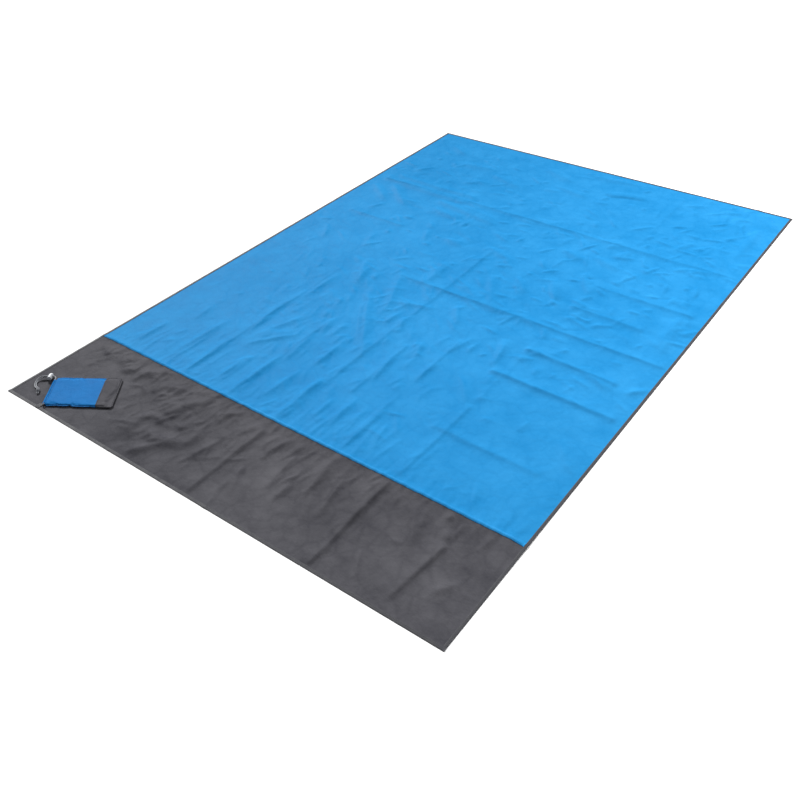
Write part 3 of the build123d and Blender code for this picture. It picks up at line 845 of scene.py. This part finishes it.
def braided(name, line, radius=CORD_RADIUS, round_end=False):
    """A braided tube along a line: two families of yarns that cross as small diamonds."""
    line, at = measured(line)
    count = max(12, round(at[-1] / (0.22 * MM)))
    run = np.linspace(0, at[-1], count + 1)
    centre = points_at(run, at, line)
    for _ in range(3):
        centre[1:-1] = (centre[:-2] + 2 * centre[1:-1] + centre[2:]) / 4
    ahead = unit(np.gradient(centre, axis=0))
    last, side = np.cross(ahead[0], (0.01, 0.02, 1.0)), []
    for forward in ahead:
        last = unit(last - forward * np.dot(last, forward))
        side.append(last)
    ring = ring_angles(40)
    rise = 2 * math.pi * run[:, None] / BRAID_PITCH
    pip = np.sqrt(np.abs(np.sin(4 * ring + rise) * np.sin(4 * ring - rise)))
    wide = radius * (0.86 + 0.14 * pip)
    if round_end:
        wide *= np.sqrt(np.clip(0.25 + (at[-1] - run) / (0.9 * radius), 0, 1))[:, None]
    points = swept(centre, np.array(side), np.cross(ahead, side), wide * np.cos(ring), wide * np.sin(ring))
    piece = make(name, points, tube_faces(count + 1, len(ring)), "cord")
    # how raised each point of the braiding is, which the cord material turns into painted shade and highlight
    add_attribute(piece, "painted_braid_shade", pip.ravel())
    return piece


def knot_line(which):
    """One of the two cords: into the knot's core, round its axis, then out as a cut end."""
    start, end = np.array(KNOT_ENDS)
    axis = unit(end - start)
    side = unit(np.cross(axis, (0, 0, 1)))
    up = np.cross(side, axis)
    before, last = np.array((UPPER_STRAND, LOWER_STRAND)[which][-2:])
    made = [last - 1.5 * MM * unit(last - before), last, start + 2.5 * MM * axis]
    for t in np.linspace(0, 1, KNOT_STEPS + 1):
        angle = 2 * math.pi * (KNOT_TURNS * t + 0.5 * which) + 0.6
        made.append(start + (end - start) * t + KNOT_WIDE * (math.cos(angle) * side + math.sin(angle) * up))
    for beyond, apart, high in KNOT_TAILS:
        place = end + axis * beyond * MM + side * apart * MM * (1 - 2 * which)
        made.append((place[0], place[1], high * MM))
    return made


def add_spring():
    """The lock's spring: a copy of the CAD coil in spring steel, on the cord lock's body. It keeps its CAD
    length; nothing here shortens it as the button is pressed.
    """
    spring = show("lock_coil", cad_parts["lock_spring"].data.copy())
    spring.data.materials.clear()
    spring.data.materials.append(MATERIALS["spring_steel"])
    finish_piece(spring, "cord_lock", "spring_steel", ["lock_spring"])
    floor, button = to_row([SPRING_FLOOR, SPRING_TOP])
    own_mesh(spring)
    return spring


def add_cords():
    channel = braided("drawcord_channel", spline_line(skewed(CHANNEL_RUN)))
    finish_piece(channel, "pouch", "cord", ["drawcord_in_channels"])
    lock = [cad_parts["lock_body"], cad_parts["lock_plunger"], add_spring()]
    for which, (name, route, length, knot_name, others) in enumerate((
        ("drawcord_upper", UPPER_STRAND, 0.113, "drawcord_knot_first", lock),
        ("drawcord_lower", LOWER_STRAND, 0.103, "drawcord_knot_second", []),
    )):
        line = spline_line(route)
        strand = braided(name, line)
        finish_piece(strand, "pouch", "cord", [f"{name}_strand"])
        knot = braided(knot_name, spline_line(knot_line(which)), KNOT_CORD, round_end=True)
        finish_piece(knot, "pouch", "cord", ["drawcord_knot"])
        to_row([route[0]])[0]
        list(others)


# ------------------------------------------------------------------------------------- pouch ----

BODY_U, BASE_U, FOOT_U = -0.081, 0.050, 0.092
HALF_V = 0.056
BACK_Z, FRONT_Z = 1.8 * MM, 7.3 * MM
MIDDLE_Z = 0.5 * (BACK_Z + FRONT_Z)
WALL_GRID, WALL_GAP = 2.6 * MM, 0.9 * MM
PUFF_FRAMES, PUFF_REACH = 20, 5.0 * MM
# Rows that carry each wall on over its channel, outermost first: how far back and up, in mm.
FRONT_HEM = ((4.6, 1.8), (2.2, 1.0))
BACK_HEM = ((8.5, 1.4), (4.0, 0.4))
HEM_FROM, HEM_TO = (-0.0525, -0.0505), (0.0415, 0.0435)  # the stretches of v where they begin and end
# The seam band's profile: how far along the pouch and up, in mm.
BAND = ((-1.5, -0.15), (-1.3, 0.30), (-0.4, 0.42), (0.5, 0.38), (1.3, 0.28), (1.5, -0.15))
UP = np.array([0.0, 0.0, 1.0])


def joined_walls(low, top, sewn_from):
    """Numbers the points of both walls. They share those of the last row, and of the sides from row
    sewn_from on. Returns the points, where each one comes from, and the numbers by wall, row and column."""
    rows, columns = low.shape[:2]
    index = np.zeros((2, rows, columns), int)
    points, places = [], []
    for wall, i, j in np.ndindex(index.shape):
        if wall and (i == rows - 1 or (i >= sewn_from and j in (0, columns - 1))):
            index[wall, i, j] = index[0, i, j]
            continue
        index[wall, i, j] = len(points)
        points.append((low, top)[wall][i, j])
        places.append((wall, i, j))
    return points, places, index


def wall_quads(index, wall, i):
    """The faces between a wall's row i and its next, turned outwards."""
    here, after = index[wall, i], index[wall, i + 1]
    corners = (here[:-1], after[:-1], after[1:], here[1:])
    return np.stack(corners if wall else corners[::-1], axis=1).tolist()


def puffed_pouch():
    """The empty pouch's lower and upper wall in its own frame, open at the mouth: a flat bag that a weak
    cloth simulation with a little air in it lifts off itself. Also the positions of the rows and columns."""
    us = np.linspace(BODY_U, FOOT_U, round((FOOT_U - BODY_U) / WALL_GRID) + 1)
    vs = np.linspace(-HALF_V, HALF_V, round(2 * HALF_V / WALL_GRID) + 1)
    u, v = np.meshgrid(us, vs, indexing="ij")
    gap = np.full(u.shape, WALL_GAP)
    gap[:, [0, -1]] = gap[-1] = 0
    low, top = (np.stack([u, v, MIDDLE_Z + side * gap], axis=2) for side in (-1, 1))
    points, _, index = joined_walls(low, top, 0)
    rest = moved = np.array(points)
    rows = len(us)
    mesh = bpy.data.meshes.new("pouch_sim")
    faces = [quad for wall in (0, 1) for i in range(rows - 1) for quad in wall_quads(index, wall, i)]
    mesh.from_pydata(points, [], faces)
    bag = show("pouch_sim", mesh)
    hold = bag.vertex_groups.new(name="hold")
    hold.add(index[:, 0].ravel().tolist(), 1.0, "REPLACE")
    for i in (0, rows // 3, 2 * rows // 3, rows - 1):
        hold.add(index[0, i, [0, -1]].tolist(), 1.0, "REPLACE")
    cloth = bag.modifiers.new("cloth", "CLOTH")
    settings = cloth.settings
    settings.quality = 6
    settings.mass = 0.05
    settings.tension_stiffness = settings.compression_stiffness = 20
    settings.shear_stiffness = 8
    settings.bending_stiffness = 0.02
    settings.vertex_group_mass = "hold"
    settings.shrink_min = -0.035
    settings.use_pressure = True
    settings.uniform_pressure_force = 1.4
    settings.effector_weights.gravity = 0
    cloth.collision_settings.use_collision = False
    scene = bpy.context.scene
    for number in range(1, PUFF_FRAMES + 1):
        scene.frame_set(number)
    graph = bpy.context.evaluated_depsgraph_get()
    moved = np.array([v.co for v in bag.evaluated_get(graph).data.vertices])
    scene.frame_set(1)
    bpy.data.objects.remove(bag)
    away = moved - rest
    reach = np.linalg.norm(away, axis=1)
    moved = rest + away * np.minimum(1, PUFF_REACH / np.maximum(reach, 1e-9))[:, None]
    return *moved[index], us, vs


def pouch_walls():
    """Both walls, creased above and lying on the sheet below. At the mouth each runs up to its channel."""
    lower, upper, us, vs = puffed_pouch()
    edge_z = MIDDLE_Z - 0.6 * MM
    u, v = np.meshgrid(us, vs, indexing="ij")
    rim = np.minimum(np.minimum(HALF_V - np.abs(v), FOOT_U - u), 0.03)
    dents = noise_at(u, v, 30.0, 11)
    folds = (1 - 1.6 * np.abs(noise_at(u, v, 20.0, 12))).clip(0, 1) ** 2
    rise = smooth(rim, 0, 0.012)
    crown = (1 - np.exp(-rim / 0.009)) * 1.5 * MM
    top = upper[..., 2] + rise * (0.9 * MM * dents + 0.8 * MM * folds) + crown
    top = edge_z + (top - MIDDLE_Z).clip(0, 3.6 * MM)
    low = (edge_z - rise * (edge_z - 1.75 * MM) + 0.25 * MM * rise * dents).clip(1.7 * MM)
    mouth = smooth(-u, -BODY_U - 0.016, -BODY_U)
    level = 7.4 * MM - 1.2 * MM * (1 - smooth(HALF_V - np.abs(v), 0.0, 0.010))
    upper[..., 2] = top * (1 - mouth) + level * mouth
    lower[..., 2] = low * (1 - mouth) + 2.6 * MM * mouth
    upper[:, 0], upper[:, -1] = lower[:, 0], lower[:, -1]
    return lower, upper, us, vs


def with_hem(wall, vs, hem):
    """The wall with its hem's rows before it, which go round the cord only where the channel is."""
    in_channel = smooth(vs, *HEM_FROM) * (1 - smooth(vs, *HEM_TO))
    rows = []
    for back, up in hem:
        row = wall[0].copy()
        row[:, 0] -= (0.4 + (back - 0.4) * in_channel) * MM
        row[:, 2] += up * in_channel * MM
        rows.append(row)
    return np.concatenate([rows, wall])


def add_pouch():
    lower, upper, us, vs = pouch_walls()
    low, top = with_hem(lower, vs, BACK_HEM), with_hem(upper, vs, FRONT_HEM)
    u_flat = np.concatenate([us[0] - np.array([back for back, _ in FRONT_HEM]) * MM, us])
    first = len(FRONT_HEM)
    points, places, index = joined_walls(low, top, first)
    flat = [(u_flat[i] + 0.4 * wall, vs[j]) for wall, i, j in places]
    body_nodes = ["pouch_front_panel", "pouch_back_panel"]
    base_nodes = ["pouch_base_front", "pouch_base_back"]
    for name, is_base, slot, material, size, nodes in (
        ("pouch_body", False, "blue_cloth", "pouch_cloth", (0.131, 0.232), body_nodes),
        ("pouch_base", True, "grey_cloth", "grey_cloth", (0.042, 0.232), base_nodes),
    ):
        rows = [i for i in range(len(top) - 1) if (0.5 * (u_flat[i] + u_flat[i + 1]) > BASE_U) == is_base]
        faces = [quad for wall in (0, 1) for i in rows for quad in wall_quads(index, wall, i)]
        used = sorted({k for quad in faces for k in quad})
        renumber = {k: n for n, k in enumerate(used)}
        faces = [[renumber[k] for k in quad] for quad in faces]
        kept = to_row(skewed([points[k] for k in used]))
        piece = make(name, kept, faces, material, [flat[k] for k in used])
        finer = piece.modifiers.new("finer", "SUBSURF")
        finer.levels = finer.render_levels = 1
        apply_modifiers(piece)
        finish_piece(piece, "pouch", slot, nodes)
    i = int(np.argmin(np.abs(u_flat - BASE_U)))
    outer, hem = ["pouch_side_seam_outer"], ["pouch_side_seam_hem"]
    for name, line, out, cloth, nodes in (
        ("pouch_seam_outer", low[first : i + 1, -1], (0, 1), "blue_cloth", outer),
        ("pouch_seam_hem", low[first : i + 1, 0], (0, -1), "blue_cloth", hem),
        ("pouch_base_outer", low[i:, -1], (0, 1), "grey_cloth", outer),
        ("pouch_base_hem", low[i:, 0], (0, -1), "grey_cloth", hem),
        ("pouch_base_foot", low[-1], (1, 0), "grey_cloth", ["pouch_bottom_seam"]),
    ):
        add_rib(name, line, out, cloth, nodes)
    add_band(low, top, i)
    add_channel("mouth_roll_back", -0.090, 0.0038, ["mouth_channel_back"])
    add_channel("mouth_roll_front", -0.086, 0.0081, ["mouth_channel_front"], sewn=True)


def squared_off(value):
    return np.copysign(np.abs(value) ** 0.7, value)


def add_rib(name, line, out, cloth, nodes):
    """Sewn edge: two allowances folded together, a soft rib along a line, with overlock thread."""
    line, at = measured(line)
    out = np.array([*out, 0.0])
    count = round(at[-1] / (1.3 * MM))
    run = np.linspace(0, at[-1], count + 1)
    centre, ring = points_at(run, at, line), ring_angles(12)
    puff = [1.0 + 0.16 * noise.noise(Vector((r * 260, 1.7, out[0] + 2 * out[1]))) for r in run]
    tip = 0.55 + 0.45 * np.minimum(1.0, np.minimum(run, at[-1] - run) / 0.002)
    across = (0.15 + np.outer(1.65 * tip, squared_off(np.cos(ring)))) * MM
    high = np.outer(0.75 * MM * tip * puff, squared_off(np.sin(ring)))
    points = to_row(skewed(swept(centre, out, UP, across, high)))
    uv = np.column_stack([np.repeat(run, len(ring)), np.tile(0.002 * ring / (2 * math.pi), count + 1)])
    rows = [to_row(skewed(centre + (0.9 * out + 0.95 * UP) * MM))]
    # the pouch's blue pieces take the darker copy of the blue cloth, which is painted shade
    material, thread = cloth.replace("blue", "pouch"), cloth.replace("cloth", "thread")
    faces = tube_faces(count + 1, len(ring), flip=True)
    piece = with_thread(name, points, faces, uv, rows, material, thread)
    finish_piece(piece, "pouch", cloth, nodes)


def add_band(low, top, i):
    """Felled seam round the pouch at row i: a narrow raised band over both walls, and its stitches."""
    across, high = np.array(BAND).T * MM
    ahead = [unit(wall[i + 1] - wall[i - 1]) for wall in (top, low)]
    back = slice(-2, 0, -1)
    over = swept(top[i], ahead[0], UP, across, high)
    under = swept(low[i][back], ahead[1][back], UP, across, -0.6 * high)
    points = to_row(skewed(np.concatenate([over, under])))
    columns = len(BAND)
    sections = len(points) // columns
    last = (sections - 1) * columns
    faces = grid_faces(sections, columns)
    faces += [(last + c, last + c + 1, c + 1, c) for c in range(columns - 1)]
    uv = np.column_stack([np.repeat(0.002 * np.arange(sections), columns), np.tile(across, sections)])
    rows = [top[i] + (ahead[0] * shift + 0.42 * UP) * MM for shift in (-0.8, 0.9)]
    rows = [to_row(skewed(row[1:-1])) for row in rows]
    piece = with_thread("pouch_base_seam", points, faces, uv, rows, "grey_cloth", "grey_thread")
    finish_piece(piece, "pouch", "grey_cloth")


def add_channel(name, cord_u, cord_z, nodes, sewn=False):
    """Hem rolled over the drawcord, with small gathers; its ends turn in round the cord."""
    low_v, high_v = CHANNEL_START_V, CHANNEL_END_V
    count, tight = 120, 1.62 * MM
    v, ring = np.linspace(low_v, high_v, count + 1), ring_angles(28)
    end = np.minimum(v - low_v, high_v - v)[:, None]
    c, s = np.cos(ring), np.sin(ring)
    seeds = [[Vector((b * 190, 1.6 * c[k], 1.6 * s[k] + cord_z * 2250)) for k in range(len(ring))] for b in v]
    gather = np.array([[noise.noise(seed) for seed in row] for row in seeds])
    wide = (2.02 + 0.42 * gather * smooth(end, 0, 0.004)) * MM
    wide = tight + (wide - tight) * smooth(end, -0.0002, 0.0016)
    centre = np.column_stack([np.full(count + 1, cord_u), v, np.zeros(count + 1)])
    points = swept(centre, np.array([1.0, 0.0, 0.0]), UP, wide * c, np.maximum(cord_z + wide * s, 1.6 * MM))
    uv = np.column_stack([np.tile(0.0021 * ring, count + 1), np.repeat(v, len(ring))])
    rows = []
    if sewn:
        row = np.linspace((cord_u + 0.0042, low_v + MM, 0.0089), (cord_u + 0.0042, high_v - MM, 0.0089), 60)
        rows.append(to_row(skewed(row)))
    faces = grid_faces(count + 1, len(ring), closed=True)
    piece = with_thread(name, to_row(skewed(points)), faces, uv, rows, "pouch_cloth", "blue_thread")
    finish_piece(piece, "pouch", "blue_cloth", nodes)


def add_tether():
    """Woven ribbon from the hem to the pouch's corner, sewn to the hem with a crossed box."""
    low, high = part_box("pouch_tether")
    rows, columns = 33, 13
    points = []
    for along in np.linspace(0, 1, rows):
        for across in np.linspace(-1, 1, columns):
            x = 0.5 * (low.x + high.x) + 0.5 * (high.x - low.x) * across
            selvedge = 0.10 * smooth(abs(across), 0.86, 1.0)
            arch = 0.12 * math.sin(math.pi * along)
            points.append((x, low.y + (high.y - low.y) * along, low.z + (selvedge + arch) * MM))
    uv = [point[:2] for point in points]
    ribbon = make("tether_ribbon", points, grid_faces(rows, columns), "binding_tape", uv)
    solid = ribbon.modifiers.new("thickness", "SOLIDIFY")
    solid.thickness, solid.offset = 0.35 * MM, 1.0
    apply_modifiers(ribbon)
    x0, x1 = low.x + 1.6 * MM, high.x - 1.6 * MM
    y0, y1, z = low.y + 1.2 * MM, low.y + 6.4 * MM, high.z + 0.1 * MM
    box = [np.linspace((x0, a, z), (x1, b, z), 12) for a, b in ((y0, y0), (y1, y1), (y0, y1), (y1, y0))]
    sewn, faces = stitch_rows(box, pitch=2.4 * MM, length=1.9 * MM, radius=0.2 * MM)
    thread = make("tether_stitches", sewn, faces, "grey_thread")
    bend = ("sheet_near", "tether", (0, low.y, 0), (0, low.y + TETHER_ROLL, 0))
    finish_piece(ribbon, None, "binding_tape", ["pouch_tether"], bend)
    finish_piece(thread, None, "binding_tape", (), bend)


def add_patch():
    """White patch under the pouch: a raised rim round a plain field, no lettering."""
    deep, centre_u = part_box("size_patch")[1].z, 0.036
    half_long, half_wide = 15.5 * MM, 5.0 * MM
    # how far in from the edge, and how far below the back, in mm
    rings = ((0.0, 0.0), (0.05, 0.22), (0.25, 0.32), (0.75, 0.32), (0.95, 0.22), (1.1, 0.14), (2.4, 0.14))
    around = 64
    points = []
    for inset, drop in rings:
        radius = half_wide - inset * MM
        for k in range(around):
            angle = 2 * math.pi * (k + 0.5) / around
            straight = math.copysign(half_long - half_wide, math.sin(angle))
            v = straight + radius * math.sin(angle)
            points.append((centre_u + radius * math.cos(angle), v, deep - drop * MM))
    last = (len(rings) - 1) * around
    faces = [*grid_faces(len(rings), around, closed=True), tuple(range(last, last + around))]
    piece = make("white_patch", to_row(points), faces, "patch")
    finish_piece(piece, "pouch", "patch", ["size_patch"])


def add_lock():
    for node in ("lock_body", "lock_plunger"):
        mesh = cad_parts[node].data
        mesh.materials.clear()
        mesh.materials.append(MATERIALS["lock_plastic"])


def add_floor_and_lights():
    mesh = bpy.data.meshes.new("floor")
    corners = [(FLOOR_HALF * x, FLOOR_HALF * y, 0) for x, y in ((-1, -1), (1, -1), (1, 1), (-1, 1))]
    mesh.from_pydata(corners, [], [(0, 1, 2, 3)])
    mesh.materials.append(floor_material())
    show("floor", mesh)
    world = bpy.data.worlds.new("studio")
    world.use_nodes = True
    background = world.node_tree.nodes["Background"]
    background.inputs["Color"].default_value = (1.0, 1.0, 1.0, 1)
    background.inputs["Strength"].default_value = WORLD_STRENGTH
    bpy.context.scene.world = world
    for name, place, size, power in (
        ("key_softbox", KEY_DISTANCE * heading(KEY_AZIMUTH, KEY_HEIGHT), KEY_SIZE, KEY_POWER),
        ("fill_softbox", Vector(FILL_PLACE), FILL_SIZE, FILL_POWER),
    ):
        data = bpy.data.lights.new(name, "AREA")
        data.shape, data.size, data.energy = "SQUARE", size, power
        lamp = show(name, data)
        lamp.location = place
        lamp.rotation_mode = "QUATERNION"
        lamp.rotation_quaternion = (-place).to_track_quat("-Z", "Y")
    bpy.context.scene.view_settings.view_transform = "Standard"


# ------------------------------------------------------------------------------------ build ----

add_camera()
add_cords()

blue_near = laid_sheet("blue_sheet_near", SEAM_Y, SPLIT_Y, "blue_cloth")
blue_far = laid_sheet("blue_sheet_far", SPLIT_Y, FAR - SHEET_INSET, "blue_cloth")
grey = laid_sheet("grey_sheet", NEAR + SHEET_INSET, SEAM_Y, "grey_cloth")
middle_fold = ("sheet_near", "sheet_middle", (0, FOLD_MIDDLE, 0), (0, FOLD_MIDDLE + MIDDLE_ROLL, 0))
quarter_fold = ("sheet_middle", "sheet_far", (0, FOLD_QUARTER, 0), (0, FOLD_QUARTER + QUARTER_ROLL, 0))
finish_piece(blue_near, None, "blue_cloth", ["blue_panel_near", "blue_panel_middle"], middle_fold)
finish_piece(blue_far, None, "blue_cloth", ["blue_panel_middle", "blue_panel_far"], quarter_fold)
finish_piece(grey, "sheet_near", "grey_cloth", ["grey_panel"])

seam_profile = [
    (across * MM, high * MM)
    for across, high in (
        (-5.0, 0.50), (-4.8, 0.95), (-3.4, 1.0), (-2.0, 1.15), (0.0, 1.2),
        (2.0, 1.15), (3.4, 1.0), (4.8, 0.95), (5.0, 0.50), (0.0, 0.40),
    )
]
seam_ends = LEFT + TAPE_WIDTH + 0.1 * MM, RIGHT - TAPE_WIDTH - 0.1 * MM
seam_line = np.linspace((seam_ends[0], SEAM_Y), (seam_ends[1], SEAM_Y), 300)
points, faces, uv = strip(seam_line, (0, 1), seam_profile)
seam_rows = [on_relief(seam_line + np.array([0, off * MM]), 1.02 * MM) for off in (-3.4, 3.4)]
seam = with_thread("felled_seam", points, faces, uv, seam_rows, "blue_cloth", "blue_thread")
finish_piece(seam, "sheet_near", "blue_cloth", ["panel_seam"])

near_hem = binding("hem_near", (LEFT, NEAR), (RIGHT, NEAR), (0, 1), "sheet_near", ["binding_near_end"])
far_hem = binding("hem_far", (RIGHT, FAR), (LEFT, FAR), (0, -1), "sheet_far", ["binding_far_end"])
near_sides, far_sides = [], []
for side, x, inward in (("left", LEFT, (1, 0)), ("right", RIGHT, (-1, 0))):
    start, split, end = (x, NEAR + TAPE_WIDTH), (x, SPLIT_Y), (x, FAR - TAPE_WIDTH)
    near, middle, far = (f"binding_{side}_{which}" for which in ("near", "middle", "far"))
    near_sides.append(binding(f"hem_{side}_near", start, split, inward, None, [near, middle], middle_fold))
    far_sides.append(binding(f"hem_{side}_far", split, end, inward, None, [middle, far], quarter_fold))
for piece, low_y, high_y, others in (
    (blue_near, SEAM_Y, SPLIT_Y, [*near_sides, seam]),
    (blue_far, SPLIT_Y, FAR, [far_hem, *far_sides]),
    (grey, NEAR, SEAM_Y, [near_hem]),
):
    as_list(others)

add_tether()
add_pouch()
add_patch()
add_lock()
add_floor_and_lights()
